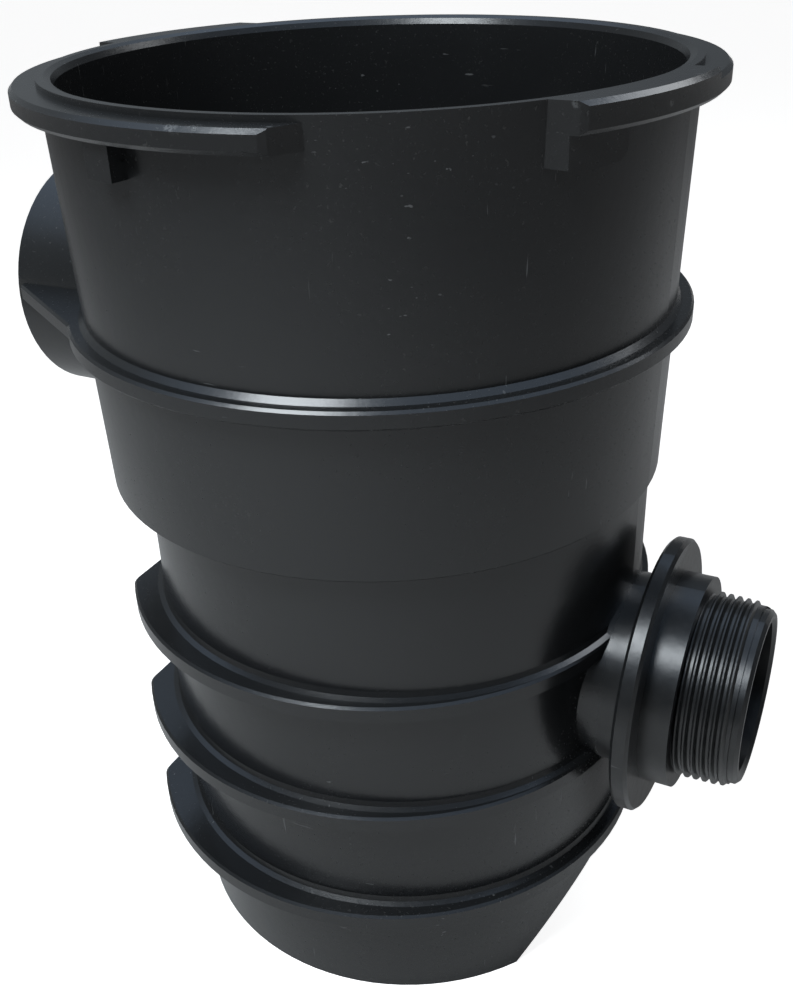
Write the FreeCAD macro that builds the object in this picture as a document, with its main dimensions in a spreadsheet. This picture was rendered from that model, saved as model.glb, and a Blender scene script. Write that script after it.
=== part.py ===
import FreeCAD, Part
import math
import os
import re

import Sketcher

# Strainer pot of a pool pump: one moulded body, open at the top, inlet on -X, threaded outlet on +X.
# Millimetres. The origin is on the axis of the wide upper chamber, in the plane of the flat base.

doc = FreeCAD.newDocument("StrainerPot")
sheet = doc.addObject("Spreadsheet::Sheet", "Sizes")

sizes = [
    ("rim_height", 230.0, "top face of the rim flange"),
    ("rim_width", 5.8, "rim flange beyond the lip"),
    ("rim_thickness", 4.7, "rim flange"),
    ("lip_rise", 1.3, "inner lip above the flange"),
    ("lip_radius", 73.8, "outside of the lip, where the wall's draft ends"),
    ("lip_round", 2.0, "rounding of the lip's inner edge"),
    ("wall_thickness", 3.8, "every moulded wall"),
    ("shoulder_height", 134.4, "underside of the wide chamber"),
    ("shoulder_radius", 70.9, "wide chamber at the shoulder"),
    ("shoulder_edge", 0.5, "bevel under the shoulder"),
    ("ledge_thickness", 4.2, "basket ledge above the shoulder"),
    ("ring_height", 176.5, "top of the stiffening ring"),
    ("ring_thickness", 4.2, "stiffening ring"),
    ("ring_radius", 76.1, "outside of the stiffening ring"),
    ("ring_edge", 0.6, "bevels of the ring"),
    ("ring_cove", 1.2, "cove between the ring and the wall above it"),
    ("lower_offset", 3.45, "narrow chamber moved towards the outlet"),
    ("base_radius", 62.6, "narrow chamber at the base"),
    ("waist_radius", 65.2, "narrow chamber at the waist"),
    ("waist_height", 67.0, "where the steep draft of the foot ends"),
    ("narrow_radius", 65.5, "narrow chamber at the shoulder"),
    ("floor_thickness", 4.0, "floor of the narrow chamber"),
    ("fin_pitch", 33.5, "from one fin's top to the next, and base to first"),
    ("fin_count", 3, "fins round the narrow chamber"),
    ("fin_thickness", 4.1, "each fin"),
    ("fin_radius", 70.7, "outside of the fins, on the upper axis"),
    ("fin_flat", 57.0, "flat on the inlet side of the fins"),
    ("fin_corner", 5.0, "corners of the flat, seen from above"),
    ("fin_edge", 0.6, "bevels of the fins"),
    ("fin_cove", 1.8, "cove between each fin and the wall above it"),
    ("relief_foot", 53.9, "sloped relief under the outlet, at the base"),
    ("relief_run", 0.56, "run of the relief for each millimetre of rise"),
    ("relief_height", 23.5, "where the relief leaves the wall"),
    ("outlet_height", 81.4, "outlet axis above the base"),
    ("outlet_end", 103.0, "face of the outlet"),
    ("outlet_bore", 19.4, "outlet bore radius"),
    ("outlet_neck", 25.0, "outlet neck radius behind the flange"),
    ("outlet_flange_back", 75.3, "back of the outlet flange"),
    ("outlet_flange_thickness", 4.5, "outlet flange"),
    ("outlet_flange_radius", 35.9, "outlet flange radius"),
    ("outlet_edge", 0.8, "bevels of the outlet flange"),
    ("collar_radius", 27.5, "collar in front of the flange"),
    ("collar_length", 7.3, "collar in front of the flange"),
    ("thread_core", 22.9, "root radius of the outlet thread"),
    ("pilot_radius", 22.4, "plain end of the outlet"),
    ("pilot_length", 2.4, "plain end of the outlet"),
    ("edge_chamfer", 0.9, "chamfers at the pipe ends"),
    ("inlet_height", 171.3, "inlet axis above the base"),
    ("inlet_end", 91.1, "face of the inlet boss"),
    ("inlet_radius", 30.8, "outside of the inlet boss"),
    ("inlet_edge", 1.0, "bevel of the inlet boss"),
    ("inlet_bore", 24.2, "inlet socket radius"),
    ("web_setback", 3.3, "web behind the face of the inlet boss"),
    ("web_margin", 1.5, "web beyond the inlet boss"),
    ("web_angle", 42.3, "where the web's edge meets the ring, from the inlet axis"),
    ("lug_start_wall", -37.5, "first end of the rim flange, at the wall"),
    ("lug_start_rim", -34.7, "first end of the rim flange, at its edge"),
    ("lug_end_rim", 104.2, "second end of the rim flange, at its edge"),
    ("lug_end_wall", 108.6, "second end of the rim flange, at the wall"),
    ("pad_end", -1.0, "end of the raised part of the rim flange"),
    ("rim_edge", 0.9, "bevels of the rim flange"),
    ("tab_setback", 2.3, "tabs under the rim, back from its edge"),
    ("tab_depth", 7.4, "tabs below the rim flange"),
    ("tab_rise", 1.4, "slope of the stop tab's lower edge"),
    ("tab_corner", 3.0, "rounded corner at the end of the stop tab"),
    ("stop_tab_end", -24.7, "end of the stop tab"),
    ("small_tab_start", 73.0, "start of the small tab"),
    ("small_tab_end", 78.5, "end of the small tab"),
]
for line, (alias, size, note) in enumerate(sizes, start=1):
    sheet.set("A%d" % line, alias)
    sheet.set("B%d" % line, str(size))
    sheet.set("C%d" % line, note)
    sheet.setAlias("B%d" % line, alias)
doc.recompute()


# A size name in an expression becomes a cell of the sheet.
def cell(text):
    return re.sub(r"\b([a-z]+(?:_[a-z]+)+)\b", r"Sizes.\1", text)


def number(text):
    return float(sheet.evalExpression(cell(text)))


def sketchOn(body, name, role, across="", up="", out="", turn=""):
    sketch = body.newObject("Sketcher::SketchObject", name)
    plane = next(item for item in body.Origin.OriginFeatures if item.Role == role)
    sketch.AttachmentSupport = (plane, [""])
    sketch.MapMode = "FlatFace"
    offset = FreeCAD.Placement()
    offset.Rotation.Axis = FreeCAD.Vector(0, 1, 0)
    sketch.AttachmentOffset = offset
    moves = {"Base.x": across, "Base.y": up, "Base.z": out, "Rotation.Angle": turn}
    for item, text in moves.items():
        if text:
            sketch.setExpression("AttachmentOffset." + item, cell(text))
    return sketch


# Closed outline from corners (x, y, way). The way leads to the next corner: "" is straight, "left" and
# "right" are arcs, counter-clockwise and clockwise, about the sketch's origin or a centre (way, x, y).
def outline(sketch, corners):
    corners = [(corner + ("",))[:3] for corner in corners]
    ways = [way if isinstance(way, tuple) else (way, "0", "0") for x, y, way in corners]
    spots = [FreeCAD.Vector(number(x), number(y), 0) for x, y, way in corners]
    middles = [FreeCAD.Vector(number(x), number(y), 0) for way, x, y in ways]
    following = [(index + 1) % len(corners) for index in range(len(corners))]
    begins = [2 if way == "right" else 1 for way, x, y in ways]
    for index, (way, x, y) in enumerate(ways):
        start, end = spots[index], spots[following[index]]
        if not way:
            sketch.addGeometry(Part.LineSegment(start, end), False)
            continue
        if way == "right":
            start, end = end, start
        start, end = start - middles[index], end - middles[index]
        first, last = math.atan2(start.y, start.x), math.atan2(end.y, end.x)
        circle = Part.Circle(middles[index], FreeCAD.Vector(0, 0, 1), start.Length)
        sketch.addGeometry(Part.ArcOfCircle(circle, first, last if last > first else last + 2 * math.pi), False)
        held(sketch, index, 3, {"DistanceX": x, "DistanceY": y})
    for index, (x, y, way) in enumerate(corners):
        link = following[index]
        sketch.addConstraint(Sketcher.Constraint("Coincident", index, 3 - begins[index], link, begins[link]))
        wanted = {"DistanceX": x, "DistanceY": y}
        if ways[index - 1][0]:
            # the arc that ends here gives the radius, so one coordinate is enough
            reach = spots[index] - middles[index - 1]
            del wanted["DistanceY" if abs(reach.x) < abs(reach.y) else "DistanceX"]
        held(sketch, index, begins[index], wanted)
    sketch.Visibility = False
    return sketch


def held(sketch, index, point, wanted):
    for kind, text in wanted.items():
        place = sketch.addConstraint(Sketcher.Constraint(kind, -1, 1, index, point, number(text)))
        sketch.setExpression("Constraints[%d]" % place, cell(text))


steps = {"up": (0, 1), "down": (0, -1), "out": (1, 0), "in": (-1, 0)}


# A square corner made round in flat bands: the outline arrives one way and leaves another.
def soft(x, y, radius, arrive, leave, bands=1):
    (ax, ay), (bx, by) = steps[arrive], steps[leave]
    corners = []
    for place in range(bands + 1):
        turn = math.pi / 2 * place / bands
        past, short = 1 - math.cos(turn), math.sin(turn) - 1
        corners.append(("%s + (%.4f) * %s" % (x, ax * short + bx * past, radius),
                        "%s + (%.4f) * %s" % (y, ay * short + by * past, radius)))
    return corners


def turned(body, name, sketch, axis):
    feature = body.newObject("PartDesign::Revolution", name)
    feature.Profile = sketch
    feature.ReferenceAxis = (sketch, [axis])
    feature.Angle = 360
    return feature


def padded(body, name, sketch, length, back=False):
    feature = body.newObject("PartDesign::Pad", name)
    feature.Profile = sketch
    feature.setExpression("Length", cell(length))
    feature.Reversed = back
    return feature


# Rounds or bevels those edges of the body that pass a test.
def dressed(body, name, kind, size, test):
    doc.recompute()
    base = body.Tip
    chosen = ["Edge%d" % place for place, edge in enumerate(base.Shape.Edges, start=1) if test(edge)]
    feature = body.newObject("PartDesign::" + kind, name)
    feature.Base = (base, chosen)
    feature.setExpression({"Fillet": "Radius", "Chamfer": "Size"}[kind], cell(size))
    return feature


def cutThrough(body, name, sketch):
    feature = body.newObject("PartDesign::Pocket", name)
    feature.Profile = sketch
    feature.Type = 1
    feature.Midplane = True
    return feature


def level(edge):
    return edge.BoundBox.ZLength < 0.01


# A point on the sketch at a radius and an angle.
def polar(radius, angle, way=""):
    return ("(%s) * cos(%s)" % (radius, angle), "(%s) * sin(%s)" % (radius, angle), way)


# Ring sector between two ends, each with its angle at the inside and at the outside.
def sector(sketch, inside, outside, start, end):
    return outline(sketch, [polar(inside, start[0]), polar(outside, start[1], "left"),
                            polar(outside, end[1]), polar(inside, end[0], "right")])


lipTop = "(rim_height + lip_rise)"
rimUnder = "(rim_height - rim_thickness)"
ledgeTop = "(shoulder_height + ledge_thickness)"


# Outside of the wide chamber at a height: one draft from the shoulder to the lip.
def wideAt(height):
    return ("(shoulder_radius + (lip_radius - shoulder_radius) * (%s - shoulder_height)"
            " / (rim_height + lip_rise - shoulder_height))" % height)


# Outside of the narrow chamber's foot at a height.
def footAt(height):
    return "(base_radius + (waist_radius - base_radius) * %s / waist_height)" % height


# Outside of the narrow chamber at a height, foot or not.
def narrowAt(height):
    upper = ("(waist_radius + (narrow_radius - waist_radius) * (%s - waist_height)"
             " / (shoulder_height + ledge_thickness / 2 - waist_height))" % height)
    return "min(%s; %s)" % (footAt("(%s)" % height), upper)


# Fins: discs on the upper axis with one flat, evenly spaced from the base
fins = doc.addObject("PartDesign::Body", "FinForm")
finChord = "sqrt(fin_radius ^ 2 - fin_flat ^ 2)"
fin = outline(sketchOn(fins, "FinProfile", "XY_Plane", out="fin_pitch"), [
    ("-fin_flat", "-" + finChord, "left"), ("-fin_flat", finChord)])
padded(fins, "LowestFin", fin, "fin_thickness", back=True)
dressed(fins, "FinCorners", "Fillet", "fin_corner", lambda edge: edge.BoundBox.ZLength > 1 and edge.BoundBox.XMax < 0)
dressed(fins, "FinEdges", "Chamfer", "fin_edge",
        lambda edge: level(edge) and edge.BoundBox.ZMax > number("fin_pitch - fin_thickness / 2"))
allFins = fins.newObject("PartDesign::LinearPattern", "AllFins")
allFins.TransformMode = "Whole shape"
allFins.Direction = (fin, ["N_Axis"])
allFins.setExpression("Length", cell("fin_pitch * (fin_count - 1)"))
allFins.setExpression("Occurrences", cell("fin_count"))
fins.Tip = allFins

# Coves over the fins, which end at the flat
for place in range(1, int(number("fin_count")) + 1):
    finTop = "fin_pitch * %d" % place
    wallThere = narrowAt(finTop + " + fin_cove")
    cove = outline(sketchOn(fins, "CoveProfile%d" % place, "XZ_Plane", across="lower_offset"), [
        (wallThere + " - wall_thickness / 2", finTop + " - fin_thickness / 2"),
        (wallThere + " + fin_cove", finTop + " - fin_thickness / 2")]
        + soft(wallThere, finTop, "fin_cove", "in", "up", bands=2)
        + [(wallThere + " - wall_thickness / 2", finTop + " + fin_cove")])
    turned(fins, "Cove%d" % place, cove, "V_Axis")
beyond = outline(sketchOn(fins, "BeyondProfile", "XY_Plane"), [
    ("-fin_flat - fin_radius", "-fin_radius"), ("-fin_flat", "-fin_radius"),
    ("-fin_flat", "fin_radius"), ("-fin_flat - fin_radius", "fin_radius")])
cutThrough(fins, "CoveEnds", beyond)

shell = doc.addObject("PartDesign::Body", "OuterForm")

# Web in the plane of the ring, from the ring to both sides of the inlet boss
webEnd = "(web_setback - inlet_end)"
webSide = "(inlet_radius + web_margin)"
webJoin = ("-ring_radius * cos(web_angle)", "ring_radius * sin(web_angle)")
web = outline(sketchOn(shell, "WebProfile", "XY_Plane", out="ring_height"), [
    (webEnd, "-" + webSide), (webJoin[0], "-" + webJoin[1]), webJoin, (webEnd, webSide)])
padded(shell, "Web", web, "ring_thickness", back=True)
dressed(shell, "WebEdges", "Chamfer", "ring_edge", lambda edge: level(edge) and edge.BoundBox.YLength > 1
        and edge.BoundBox.XLength > 1)

# Wide chamber with the stiffening ring
ringUnder = "(ring_height - ring_thickness)"
wide = outline(sketchOn(shell, "WideProfile", "XZ_Plane"), [("0", "shoulder_height")]
               + soft("shoulder_radius", "shoulder_height", "shoulder_edge", "out", "up")
               + [(wideAt(ringUnder), ringUnder)]
               + soft("ring_radius", ringUnder, "ring_edge", "out", "up")
               + soft("ring_radius", "ring_height", "ring_edge", "up", "in")
               + soft(wideAt("ring_height"), "ring_height", "ring_cove", "in", "up")
               + [("lip_radius", lipTop), ("0", lipTop)])
turned(shell, "WideChamber", wide, "V_Axis")

# Narrow chamber, on its own axis nearer the outlet
narrow = outline(sketchOn(shell, "NarrowProfile", "XZ_Plane", across="lower_offset"), [
    ("0", "0"), ("base_radius", "0"), ("waist_radius", "waist_height"),
    ("narrow_radius", "shoulder_height + ledge_thickness / 2"),
    ("0", "shoulder_height + ledge_thickness / 2")])
turned(shell, "NarrowChamber", narrow, "V_Axis")

# Outlet: neck, flange, collar, core of the thread and plain end
flangeFront = "(outlet_flange_back + outlet_flange_thickness)"
outlet = outline(sketchOn(shell, "OutletProfile", "XZ_Plane", up="outlet_height"), [
    ("lower_offset", "0"), ("lower_offset", "outlet_neck"), ("outlet_flange_back", "outlet_neck")]
    + soft("outlet_flange_back", "outlet_flange_radius", "outlet_edge", "up", "out")
    + soft(flangeFront, "outlet_flange_radius", "outlet_edge", "out", "down")
    + [(flangeFront, "collar_radius"), (flangeFront + " + collar_length", "collar_radius"),
       (flangeFront + " + collar_length", "thread_core"), ("outlet_end - pilot_length", "thread_core"),
       ("outlet_end - pilot_length", "pilot_radius"), ("outlet_end - edge_chamfer", "pilot_radius"),
       ("outlet_end", "pilot_radius - edge_chamfer"), ("outlet_end", "0")])
turned(shell, "Outlet", outlet, "H_Axis")

# Inlet boss
inlet = outline(sketchOn(shell, "InletProfile", "XZ_Plane", up="inlet_height"), [
    ("0", "0"), ("-inlet_end", "0")]
    + soft("-inlet_end", "inlet_radius", "inlet_edge", "up", "out") + [("0", "inlet_radius")])
turned(shell, "InletBoss", inlet, "H_Axis")

# Sloped relief in the foot of the wall, under the outlet
reliefTop = ("relief_foot + relief_run * relief_height", "relief_height")
relief = outline(sketchOn(shell, "ReliefProfile", "XZ_Plane"), [
    ("relief_foot - relief_run", "-1"), reliefTop,
    ("outlet_end", "relief_height"), ("outlet_end", "-1")])
cutThrough(shell, "Relief", relief)

# Rim: one flange sector with its raised part and the tabs under it, made twice
rim = doc.addObject("PartDesign::Body", "RimForm")
inWall = "(lip_radius - wall_thickness / 2)"
rimEdge = "(lip_radius + rim_width)"
tabEdge = "(lip_radius + rim_width - tab_setback)"
spread = "(lip_radius - %s) / rim_width" % inWall
startInside = "(lug_start_wall + (lug_start_wall - lug_start_rim) * %s)" % spread
endInside = "(lug_end_wall + (lug_end_wall - lug_end_rim) * %s)" % spread
spare = "(lug_start_wall * 1.3)"
flange = sector(sketchOn(rim, "FlangeProfile", "XY_Plane", out="rim_height"), inWall, rimEdge,
                ("pad_end", "pad_end"), (endInside, "lug_end_rim"))
once = [padded(rim, "RimFlange", flange, "rim_thickness", back=True)]
raised = sector(sketchOn(rim, "RaisedProfile", "XY_Plane", out=lipTop), inWall, rimEdge,
                (spare, spare), ("pad_end", "pad_end"))
once.append(padded(rim, "RaisedRim", raised, "rim_thickness + lip_rise", back=True))
stop = sector(sketchOn(rim, "StopProfile", "XY_Plane", out=rimUnder + " - tab_depth"), inWall, tabEdge,
              (spare, spare), ("stop_tab_end", "stop_tab_end"))
once.append(padded(rim, "StopTab", stop, "tab_depth + rim_thickness / 2"))

# One slanted face ends the flange and the stop tab, whose lower edge slopes.
past = "(lug_start_rim + lug_start_rim - lug_start_wall)"
outer = "(lip_radius + 2 * rim_width)"
slant = sector(sketchOn(rim, "SlantProfile", "XY_Plane"), inWall + " - 1", outer,
               (spare + " * 1.1", spare + " * 1.1"),
               ("(%s + (lug_start_wall - lug_start_rim) / rim_width)" % startInside, past))
once.append(cutThrough(rim, "SlantedEnd", slant))
stopMiddle = "((lug_start_wall + stop_tab_end) / 2)"
stopHalf = "(%s * sin((stop_tab_end - lug_start_wall) / 2))" % tabEdge
stopLow = "(%s - tab_depth)" % rimUnder
wedge = outline(sketchOn(rim, "WedgeProfile", "XZ_Plane", turn=stopMiddle + " + 90"), [
    ("-1.5 * " + stopHalf, stopLow + " - tab_rise / 4"), ("1.5 * " + stopHalf, stopLow + " - tab_rise / 4"),
    ("1.5 * " + stopHalf, stopLow + " + tab_rise * 5 / 4")])
once.append(cutThrough(rim, "SlopedEdge", wedge))
small = sector(sketchOn(rim, "SmallTabProfile", "XY_Plane", out=rimUnder + " - tab_depth"),
               inWall, tabEdge, ("small_tab_start", "small_tab_start"),
               ("small_tab_end", "small_tab_end"))
once.append(padded(rim, "SmallTab", small, "tab_depth + rim_thickness / 2"))
twice = rim.newObject("PartDesign::PolarPattern", "BothHalves")
twice.Originals = once
twice.Axis = (flange, ["N_Axis"])
twice.Angle = 360
twice.Occurrences = 2
rim.Tip = twice


def outermost(edge):
    middle = edge.valueAt((edge.FirstParameter + edge.LastParameter) / 2)
    return math.hypot(middle.x, middle.y) > number(rimEdge) - 0.01


# the lower corner at the free end of the stop tab
def freeCorner(edge):
    middle = edge.CenterOfMass
    turn = math.degrees(math.atan2(middle.y, middle.x)) - number("stop_tab_end")
    return abs((turn + 90) % 180 - 90) < 0.3 and middle.z < number(stopLow + " + tab_rise + tab_corner / 2")


dressed(rim, "FreeCorners", "Fillet", "tab_corner", freeCorner)
dressed(rim, "RimEdges", "Chamfer", "rim_edge", outermost)

solid = doc.addObject("Part::MultiFuse", "SolidForm")
solid.Shapes = [shell, fins, rim]

# Everything that is hollow
hollow = doc.addObject("PartDesign::Body", "Hollow")
boreTop = "(lip_radius - wall_thickness)"
bore = outline(sketchOn(hollow, "BoreProfile", "XZ_Plane"), [
    ("0", ledgeTop), (wideAt(ledgeTop) + " - wall_thickness", ledgeTop)]
    + soft(boreTop, lipTop, "lip_round", "up", "out", bands=2)
    + [(boreTop + " + lip_round", lipTop + " + lip_round"), ("0", lipTop + " + lip_round")])
turned(hollow, "WideBore", bore, "V_Axis")
sump = outline(sketchOn(hollow, "SumpProfile", "XZ_Plane", across="lower_offset"), [
    ("0", "floor_thickness"), (footAt("floor_thickness") + " - wall_thickness", "floor_thickness"),
    ("waist_radius - wall_thickness", "waist_height"), ("narrow_radius - wall_thickness", "shoulder_height"),
    ("narrow_radius - wall_thickness", ledgeTop + " + floor_thickness"),
    ("0", ledgeTop + " + floor_thickness")])
turned(hollow, "Sump", sump, "V_Axis")
back = "wall_thickness * sqrt(1 + relief_run ^ 2)"
lining = outline(sketchOn(hollow, "LiningProfile", "XZ_Plane"), [
    ("relief_foot - " + back, "0"),
    ("relief_foot + relief_run * (relief_height + wall_thickness) - " + back, "relief_height + wall_thickness"),
    ("outlet_end", "relief_height + wall_thickness"), ("outlet_end", "0")])
cutThrough(hollow, "ReliefLining", lining)
outBore = outline(sketchOn(hollow, "OutletBoreProfile", "XZ_Plane", up="outlet_height"), [
    ("lower_offset", "0"), ("lower_offset", "outlet_bore"), ("outlet_end - edge_chamfer", "outlet_bore"),
    ("outlet_end", "outlet_bore + edge_chamfer"), ("outlet_end + edge_chamfer", "outlet_bore + edge_chamfer"),
    ("outlet_end + edge_chamfer", "0")])
turned(hollow, "OutletBore", outBore, "H_Axis")
inBore = outline(sketchOn(hollow, "InletBoreProfile", "XZ_Plane", up="inlet_height"), [
    ("0", "0"), ("-inlet_end - edge_chamfer", "0"), ("-inlet_end - edge_chamfer", "inlet_bore + edge_chamfer"),
    ("-inlet_end", "inlet_bore + edge_chamfer"), ("edge_chamfer - inlet_end", "inlet_bore"),
    ("0", "inlet_bore")])
turned(hollow, "InletBore", inBore, "H_Axis")

pot = doc.addObject("Part::Cut", "StrainerPotBody")
pot.Label = "strainer_pot"
pot.Base = solid
pot.Tool = hollow
doc.recompute()

for item in doc.Objects:
    if "Invalid" in item.State or "Error" in item.State:
        raise RuntimeError("%s failed: %s" % (item.Label, item.State))
for sketch in doc.findObjects("Sketcher::SketchObject"):
    if sketch.solve() != 0:
        raise RuntimeError("%s is not solved" % sketch.Label)
if pot.Shape.isNull() or not pot.Shape.isValid() or len(pot.Shape.Solids) != 1:
    raise RuntimeError("the pot is not one valid solid")

os.makedirs("parts", exist_ok=True)
pot.Shape.exportStep("parts/strainer_pot.step")
box = pot.Shape.BoundBox
print("strainer_pot: %.1f cm3, X %.1f..%.1f, Y %.1f..%.1f, Z %.1f..%.1f" % (
    pot.Shape.Volume / 1000, box.XMin, box.XMax, box.YMin, box.YMax, box.ZMin, box.ZMax))
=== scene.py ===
import math

import bpy
from mathutils import Matrix, Vector


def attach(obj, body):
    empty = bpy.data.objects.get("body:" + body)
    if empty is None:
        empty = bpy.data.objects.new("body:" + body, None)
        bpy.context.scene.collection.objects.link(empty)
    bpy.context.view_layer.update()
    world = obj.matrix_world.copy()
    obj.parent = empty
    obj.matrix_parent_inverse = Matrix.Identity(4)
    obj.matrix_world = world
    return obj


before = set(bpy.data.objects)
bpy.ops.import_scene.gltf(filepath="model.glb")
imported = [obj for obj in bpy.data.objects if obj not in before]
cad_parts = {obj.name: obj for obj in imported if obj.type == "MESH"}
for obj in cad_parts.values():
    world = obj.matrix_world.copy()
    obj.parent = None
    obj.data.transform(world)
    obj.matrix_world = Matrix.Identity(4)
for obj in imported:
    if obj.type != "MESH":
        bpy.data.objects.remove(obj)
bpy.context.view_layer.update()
scene = bpy.context.scene
print("frame loaded:", ", ".join(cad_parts))


# camera, at the photograph's angle
photoCamera = {
    "position": (0.1313, -0.2469, 0.2682),
    "right": (0.8941, 0.4466, -0.0330),
    "up": (-0.1879, 0.4412, 0.8775),
    "back": (0.4064, -0.7784, 0.4784),
    "lens": 41.88,  # millimetres on a 36 mm sensor, along the tall side of the picture
    "sensor": 36.0,
}


def makeCamera(values):
    data = bpy.data.cameras.new("photoCamera")
    data.sensor_fit = "AUTO"
    data.sensor_width = values["sensor"]
    data.lens = values["lens"]
    data.clip_start, data.clip_end = 0.01, 20.0
    camera = bpy.data.objects.new("photoCamera", data)
    axes = Matrix((values["right"], values["up"], values["back"])).transposed().to_4x4()
    axes.translation = Vector(values["position"])
    camera.matrix_world = axes
    scene.collection.objects.link(camera)
    scene.camera = camera


makeCamera(photoCamera)
scene.view_settings.view_transform = "Standard"
print("camera placed")


# shader maths: one wrapped socket, so that materials read as formulas
class Value:
    def __init__(self, tree, socket):
        self.tree, self.socket = tree, socket

    def math(self, operation, *others):
        numbers = dict(enumerate((self,) + others))
        return self.tree.node("ShaderNodeMath", {"operation": operation}, numbers)

    def __add__(self, other): return self.math("ADD", other)
    def __radd__(self, other): return self.math("ADD", other)
    def __sub__(self, other): return self.math("SUBTRACT", other)
    def __mul__(self, other): return self.math("MULTIPLY", other)
    def __rmul__(self, other): return self.math("MULTIPLY", other)

    def __rsub__(self, other):
        return self.tree.node("ShaderNodeMath", {"operation": "SUBTRACT"}, {0: other, 1: self})

    def length(self):
        return self.tree.node("ShaderNodeVectorMath", {"operation": "LENGTH"}, {0: self}, output="Value")

    def clamp(self):
        return self.tree.node("ShaderNodeClamp", {}, {"Value": self})

    def between(self, low, high):
        # 0 below low, 1 above high, smooth between
        ramp = {"interpolation_type": "SMOOTHSTEP"}
        return self.tree.node("ShaderNodeMapRange", ramp, {"Value": self, "From Min": low, "From Max": high})


class Shader:
    def __init__(self, owner):
        owner.use_nodes = True  # a material or a world
        self.nodes, self.links = owner.node_tree.nodes, owner.node_tree.links
        self.nodes.clear()

    def node(self, kind, settings=None, sockets=None, output=0):
        made = self.nodes.new(kind)
        for name, value in (settings or {}).items():
            setattr(made, name, value)
        for name, value in (sockets or {}).items():
            if isinstance(value, Value):
                self.links.new(value.socket, made.inputs[name])
            else:
                made.inputs[name].default_value = value
        return Value(self, made.outputs[output]) if made.outputs else made

    def blend(self, factor, first, second):
        colours = {"data_type": "RGBA"}
        return self.node("ShaderNodeMix", colours, {"Factor": factor, 6: first, 7: second}, output=2)

    def noise(self, vector, scale, detail=2.0, roughness=0.5, distortion=0.0):
        sockets = {"Vector": vector, "Scale": scale, "Detail": detail,
                   "Roughness": roughness, "Distortion": distortion}
        return self.node("ShaderNodeTexNoise", {}, sockets)

    def vector(self, operation, first, second):
        return self.node("ShaderNodeVectorMath", {"operation": operation}, {0: first, 1: second})

    def scaled(self, vector, factors, turn=(0.0, 0.0, 0.0)):
        return self.node("ShaderNodeMapping", {}, {"Vector": vector, "Scale": factors, "Rotation": turn})


# black moulded plastic: nearly black, satin, with orange peel, dust, fine scratches and scuffs, and pale
# patches that paint highlights on the front lug edges
blackPlastic = {
    "colour": (0.0108, 0.0115, 0.0124, 1.0),
    "dustColour": (0.115, 0.115, 0.11, 1.0),
    "wearAndHighlightColour": (0.34, 0.35, 0.36, 1.0),
    "roughness": 0.25,
    "peelScale": 420.0,
    "peelDepth": 0.00006,
    "rippleScale": 22.0,
    "rippleDepth": 0.0010,
    "filmStrength": 0.03,  # a thin grey film, in clouds
    "dustScale": 1300.0,
    "dustStrength": 0.25,
    "scratchScale": 900.0,
    "scratchStrength": 0.25,
    "scuffAndHighlightStrength": 0.2,
    "nozzleFrom": 0.067,  # the outlet is duller and mottled, from here along x and below this height
    "nozzleBelow": 0.1155,
    "nozzleRough": 0.07,
    "scuffsAndHighlights": [  # rubbed places on the rim's edges, those on the front lug edges also painted highlights: x, y, z, radius
        (0.0020, -0.0788, 0.2299, 0.0020),
        (0.0068, -0.0780, 0.2299, 0.0016),
        (0.0196, -0.0745, 0.2297, 0.0010),
        (0.0640, -0.0447, 0.2309, 0.0011),
        (0.0757, -0.0246, 0.2282, 0.0010),
        (-0.0660, -0.0460, 0.2299, 0.0020),
        (0.0300, 0.0745, 0.2299, 0.0018),
    ],
}


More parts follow.
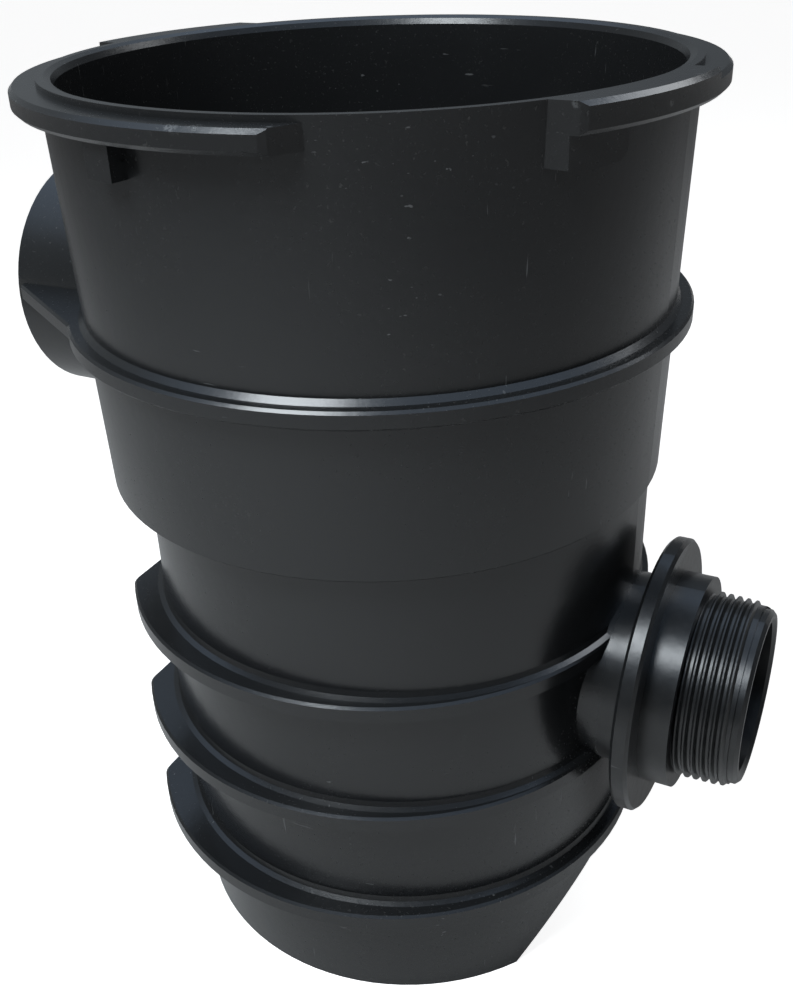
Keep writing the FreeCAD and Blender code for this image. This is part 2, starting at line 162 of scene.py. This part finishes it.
def plasticMaterial(name, values, frosting):
    material = bpy.data.materials.new(name)
    shader = Shader(material)
    place = shader.node("ShaderNodeTexCoord", output="Object")
    peel = shader.noise(place, values["peelScale"], 3.0, 0.6)
    ripple = shader.noise(place, values["rippleScale"], 1.0)
    cloud = shader.noise(place, 14.0, 4.0, 0.6)
    mottle = shader.noise(place, 330.0, 3.0, 0.65).between(0.38, 0.66)
    dust = shader.noise(place, values["dustScale"]).between(0.64, 0.76) * cloud.between(0.42, 0.62)
    fine = values["scratchScale"]
    long = shader.scaled(place, (fine, fine, 60.0), (0.5, 0.25, 0.0))
    scratches = shader.noise(long, 1.0, 2.0).between(0.70, 0.74)
    scratches = scratches * shader.noise(place, 30.0, 2.0).between(0.55, 0.64)
    across = shader.scaled(place, (70.0, fine, fine), (0.2, 0.4, 0.9))
    crossed = shader.noise(across, 1.0, 2.0).between(0.71, 0.75)
    crossed = crossed * shader.noise(place, 24.0, 2.0).between(0.56, 0.64)
    along = shader.node("ShaderNodeSeparateXYZ", {}, {0: place}, output="X")
    height = shader.node("ShaderNodeSeparateXYZ", {}, {0: place}, output="Z")
    nozzle = along.between(values["nozzleFrom"], values["nozzleFrom"] + 0.004)
    nozzle = nozzle * (1 - height.between(values["nozzleBelow"] - 0.003, values["nozzleBelow"]))
    # pale patches on the rim's edges: scuffs, and on the front lug edges painted highlights
    rubbedAndHighlight = 0.0
    for x, y, z, radius in values["scuffsAndHighlights"]:
        spot = shader.vector("SUBTRACT", place, (x, y, z)).length()
        rubbedAndHighlight = (1 - spot.between(radius * 0.3, radius)).math("MAXIMUM", rubbedAndHighlight)
    rubbedAndHighlight = rubbedAndHighlight * shader.noise(place, 700.0, 3.0, 0.6).between(0.44, 0.60)
    marksAndHighlights = (scratches + crossed).clamp() * values["scratchStrength"] + rubbedAndHighlight * values["scuffAndHighlightStrength"]
    film = (cloud.between(0.3, 0.8) + nozzle * mottle) * values["filmStrength"] + frosting
    colour = shader.blend(film, values["colour"], values["dustColour"])
    colour = shader.blend((dust * values["dustStrength"]).clamp(), colour, values["dustColour"])
    # pale scratches, scuffs and painted edge highlights blended into the colour
    colour = shader.blend(marksAndHighlights.clamp(), colour, values["wearAndHighlightColour"])
    dulled = nozzle * (mottle * 0.4 + 0.6) * values["nozzleRough"]
    rough = cloud * 0.10 + (values["roughness"] - 0.05) + dust * 0.2 + marksAndHighlights * 0.3 + dulled
    wavy = shader.node("ShaderNodeBump", {}, {
        "Height": ripple, "Distance": values["rippleDepth"], "Strength": 0.35})
    bump = shader.node("ShaderNodeBump", {}, {
        "Height": peel, "Distance": values["peelDepth"], "Strength": 0.6, "Normal": wavy})
    surface = shader.node("ShaderNodeBsdfPrincipled", {}, {
        "Base Color": colour, "Roughness": rough.clamp(), "Normal": bump, "IOR": 1.5})
    shader.node("ShaderNodeOutputMaterial", {}, {"Surface": surface})
    return material


potPlastic = plasticMaterial("blackMouldedPlastic", blackPlastic, 0.0)
threadPlastic = plasticMaterial("frostedMouldedPlastic", blackPlastic, 0.02)
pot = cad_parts["strainer_pot"]
for slot in pot.material_slots:
    slot.material = potPlastic
print("plastic made")


# outlet thread: one ridge wound round the core, right-handed
outletThread = {
    "axisHeight": 0.0814,
    "start": 0.0868,
    "end": 0.1004,
    "pitch": 0.002209,
    "coreRadius": 0.0229,
    "crestRadius": 0.02418,
    "taper": 0.03125,  # radius lost per length, as on a pipe thread
    "rootWidth": 0.0019,
    "crestWidth": 0.00035,
    "sunk": 0.00025,  # the ridge's foot lies this far inside the core
    "fade": 9.0,  # the ridge rises over one part in nine of its length at each end
    "stepsPerTurn": 96,
}


def nodeTree(name, inputs):
    tree = bpy.data.node_groups.new(name, "GeometryNodeTree")
    tree.interface.new_socket(name="Geometry", in_out="INPUT", socket_type="NodeSocketGeometry")
    for label, kind in inputs:
        tree.interface.new_socket(name=label, in_out="INPUT", socket_type=kind)
    tree.interface.new_socket(name="Geometry", in_out="OUTPUT", socket_type="NodeSocketGeometry")
    return tree


def evaluatedMesh(tree, name, inputs):
    holder = bpy.data.objects.new(name + "Holder", bpy.data.meshes.new(name + "Holder"))
    scene.collection.objects.link(holder)
    modifier = holder.modifiers.new("nodes", "NODES")
    modifier.node_group = tree
    for item in tree.interface.items_tree:
        if item.in_out == "INPUT" and item.name in inputs:
            modifier[item.identifier] = inputs[item.name]
    depsgraph = bpy.context.evaluated_depsgraph_get()
    mesh = bpy.data.meshes.new_from_object(holder.evaluated_get(depsgraph), depsgraph=depsgraph)
    bpy.data.objects.remove(holder)
    mesh.name = name
    return mesh


def makeThread(values):
    length = values["end"] - values["start"]
    numbers = {
        "Length": length,
        "Pitch": values["pitch"],
        "Core Radius": values["coreRadius"],
        "Crest Radius": values["crestRadius"],
        "Taper": values["taper"],
        "Root Width": values["rootWidth"],
        "Crest Width": values["crestWidth"],
        "Sunk": values["sunk"],
        "Fade": values["fade"],
        "Steps": int(values["stepsPerTurn"] * length / values["pitch"]),
    }
    inputs = [(label, "NodeSocketInt" if label == "Steps" else "NodeSocketFloat") for label in numbers]
    tree = nodeTree("outletThread", inputs)
    nodes, links = tree.nodes, tree.links
    start, finish = nodes.new("NodeGroupInput"), nodes.new("NodeGroupOutput")

    def maths(operation, first, second=0.0):
        made = nodes.new("ShaderNodeMath")
        made.operation = operation
        for socket, value in zip(made.inputs, (first, second)):
            if isinstance(value, (int, float)):
                socket.default_value = value
            else:
                links.new(value, socket)
        return made.outputs[0]

    given = {socket.name: socket for socket in start.outputs}
    grid = nodes.new("GeometryNodeMeshGrid")  # x runs along the helix, y across the ridge
    grid.inputs["Size X"].default_value = 1.0
    grid.inputs["Size Y"].default_value = 1.0
    links.new(given["Steps"], grid.inputs["Vertices X"])
    grid.inputs["Vertices Y"].default_value = 4
    where = nodes.new("ShaderNodeSeparateXYZ")
    links.new(nodes.new("GeometryNodeInputPosition").outputs[0], where.inputs[0])
    along = maths("ADD", where.outputs[0], 0.5)
    side = maths("MULTIPLY", where.outputs[1], 2.0)
    onCrest = maths("LESS_THAN", maths("ABSOLUTE", side), 0.5)
    ends = maths("MULTIPLY", maths("MINIMUM", along, maths("SUBTRACT", 1.0, along)), given["Fade"])
    fade = maths("MINIMUM", ends, 1.0)
    halfRoot = maths("MULTIPLY", given["Root Width"], 0.5)
    halfCrest = maths("MULTIPLY", given["Crest Width"], 0.5)
    widened = maths("ADD", maths("MULTIPLY", maths("SUBTRACT", 1.0, onCrest), halfRoot),
                    maths("MULTIPLY", onCrest, halfCrest))
    sign = maths("SIGN", side)
    advance = maths("ADD", maths("MULTIPLY", along, given["Length"]), maths("MULTIPLY", sign, widened))
    angle = maths("MULTIPLY", maths("DIVIDE", maths("MULTIPLY", along, given["Length"]), given["Pitch"]),
                  2.0 * math.pi)
    crest = maths("SUBTRACT", given["Crest Radius"], maths("MULTIPLY", advance, given["Taper"]))
    depth = maths("SUBTRACT", crest, given["Core Radius"])
    below = maths("MULTIPLY", maths("SUBTRACT", 1.0, onCrest), given["Sunk"])
    radius = maths("ADD", maths("SUBTRACT", given["Core Radius"], below),
                   maths("MULTIPLY", maths("MULTIPLY", depth, fade), onCrest))
    spot = nodes.new("ShaderNodeCombineXYZ")
    links.new(advance, spot.inputs[0])
    links.new(maths("MULTIPLY", radius, maths("COSINE", angle)), spot.inputs[1])
    links.new(maths("MULTIPLY", radius, maths("SINE", angle)), spot.inputs[2])
    shift = nodes.new("GeometryNodeSetPosition")
    links.new(grid.outputs[0], shift.inputs["Geometry"])
    links.new(spot.outputs[0], shift.inputs["Position"])
    whole = nodes.new("GeometryNodeRealizeInstances")
    links.new(shift.outputs[0], whole.inputs[0])
    paint = nodes.new("GeometryNodeSetMaterial")
    paint.inputs["Material"].default_value = threadPlastic
    links.new(whole.outputs[0], paint.inputs["Geometry"])
    links.new(paint.outputs[0], finish.inputs[0])
    mesh = evaluatedMesh(tree, "outletThread", numbers)
    mesh.transform(Matrix.Translation((values["start"], 0.0, values["axisHeight"])))
    return mesh


thread = bpy.data.objects.new("outletThread", makeThread(outletThread))
scene.collection.objects.link(thread)
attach(thread, "root")
print("thread:", len(thread.data.polygons), "faces")


# floor, world and lamps: a soft box close over the front left, in a dim room
studio = {
    "floorSize": 10.0,
    "floorColour": (0.86, 0.86, 0.86, 1.0),
    "backgroundFrom": 1.6,  # metres from the part, where reflections show the white background too
    "roomColour": (0.10, 0.10, 0.10, 1.0),
    "paleHorizon": (0.22, 0.24, 0.255, 1.0),  # the room in reflections, toward -x, toward +x and overhead
    "darkHorizon": (0.09, 0.10, 0.11, 1.0),
    "overheadColour": (0.66, 0.84, 1.10, 1.0),
    "lamps": [  # name, place, aim, width, height, watts, colour
        ("keyBox", (-0.09, -0.34, 0.60), (-0.07, -0.27, 0.0), 0.24, 0.24, 3.3, (0.90, 0.96, 1.0)),
        ("backBox", (0.34, 0.46, 0.62), (0.16, 0.24, 0.0), 0.30, 0.30, 1.2, (0.94, 0.97, 1.0)),
    ],
}


def rayKinds(shader, *names):
    seen = 0.0
    for name in names:
        seen = shader.node("ShaderNodeLightPath", output=name).math("MAXIMUM", seen)
    return seen


def makeFloor(values):
    side = values["floorSize"] / 2
    corners = [(-side, -side, 0), (side, -side, 0), (side, side, 0), (-side, side, 0)]
    mesh = bpy.data.meshes.new("studioFloor")
    mesh.from_pydata(corners, [], [(0, 1, 2, 3)])
    floor = bpy.data.objects.new("studioFloor", mesh)
    scene.collection.objects.link(floor)
    material = bpy.data.materials.new("paleFloor")
    shader = Shader(material)
    place = shader.node("ShaderNodeTexCoord", output="Object")
    away = place.length().between(values["backgroundFrom"], values["backgroundFrom"] * 1.5)
    mirrored = rayKinds(shader, "Is Glossy Ray", "Is Transmission Ray") * away
    white = rayKinds(shader, "Is Camera Ray").math("MAXIMUM", mirrored)
    glow = shader.blend(white, (0.0, 0.0, 0.0, 1.0), values["floorColour"])
    surface = shader.node("ShaderNodeBsdfPrincipled", {}, {
        "Base Color": values["floorColour"], "Roughness": 0.9, "Specular IOR Level": 0.1,
        "Emission Color": glow, "Emission Strength": 1.0})
    shader.node("ShaderNodeOutputMaterial", {}, {"Surface": surface})
    mesh.materials.append(material)


def makeRoom(values):
    world = bpy.data.worlds.new("dimRoom")
    scene.world = world
    shader = Shader(world)
    way = shader.node("ShaderNodeTexCoord", output="Generated")
    across = shader.node("ShaderNodeSeparateXYZ", {}, {0: way}, output="X").between(-0.9, 0.2)
    height = shader.node("ShaderNodeSeparateXYZ", {}, {0: way}, output="Z").between(0.42, 0.77)
    seen = shader.blend(across, values["paleHorizon"], values["darkHorizon"])
    seen = shader.blend(height, seen, values["overheadColour"])
    mirrored = rayKinds(shader, "Is Glossy Ray", "Is Transmission Ray")
    colour = shader.blend(mirrored, values["roomColour"], seen)
    colour = shader.blend(rayKinds(shader, "Is Camera Ray"), colour, (1.0, 1.0, 1.0, 1.0))
    background = shader.node("ShaderNodeBackground", {}, {"Color": colour, "Strength": 1.0})
    shader.node("ShaderNodeOutputWorld", {}, {"Surface": background})


def makeLamps(values):
    for name, place, aim, width, height, watts, colour in values["lamps"]:
        area = bpy.data.lights.new(name, "AREA")
        area.shape, area.size, area.size_y = "RECTANGLE", width, height
        area.energy, area.color = watts, colour
        box = bpy.data.objects.new(name, area)
        turn = (Vector(aim) - Vector(place)).to_track_quat("-Z", "Y").to_matrix().to_4x4()
        box.matrix_world = Matrix.Translation(place) @ turn
        scene.collection.objects.link(box)


makeFloor(studio)
makeRoom(studio)
makeLamps(studio)
print("studio made")
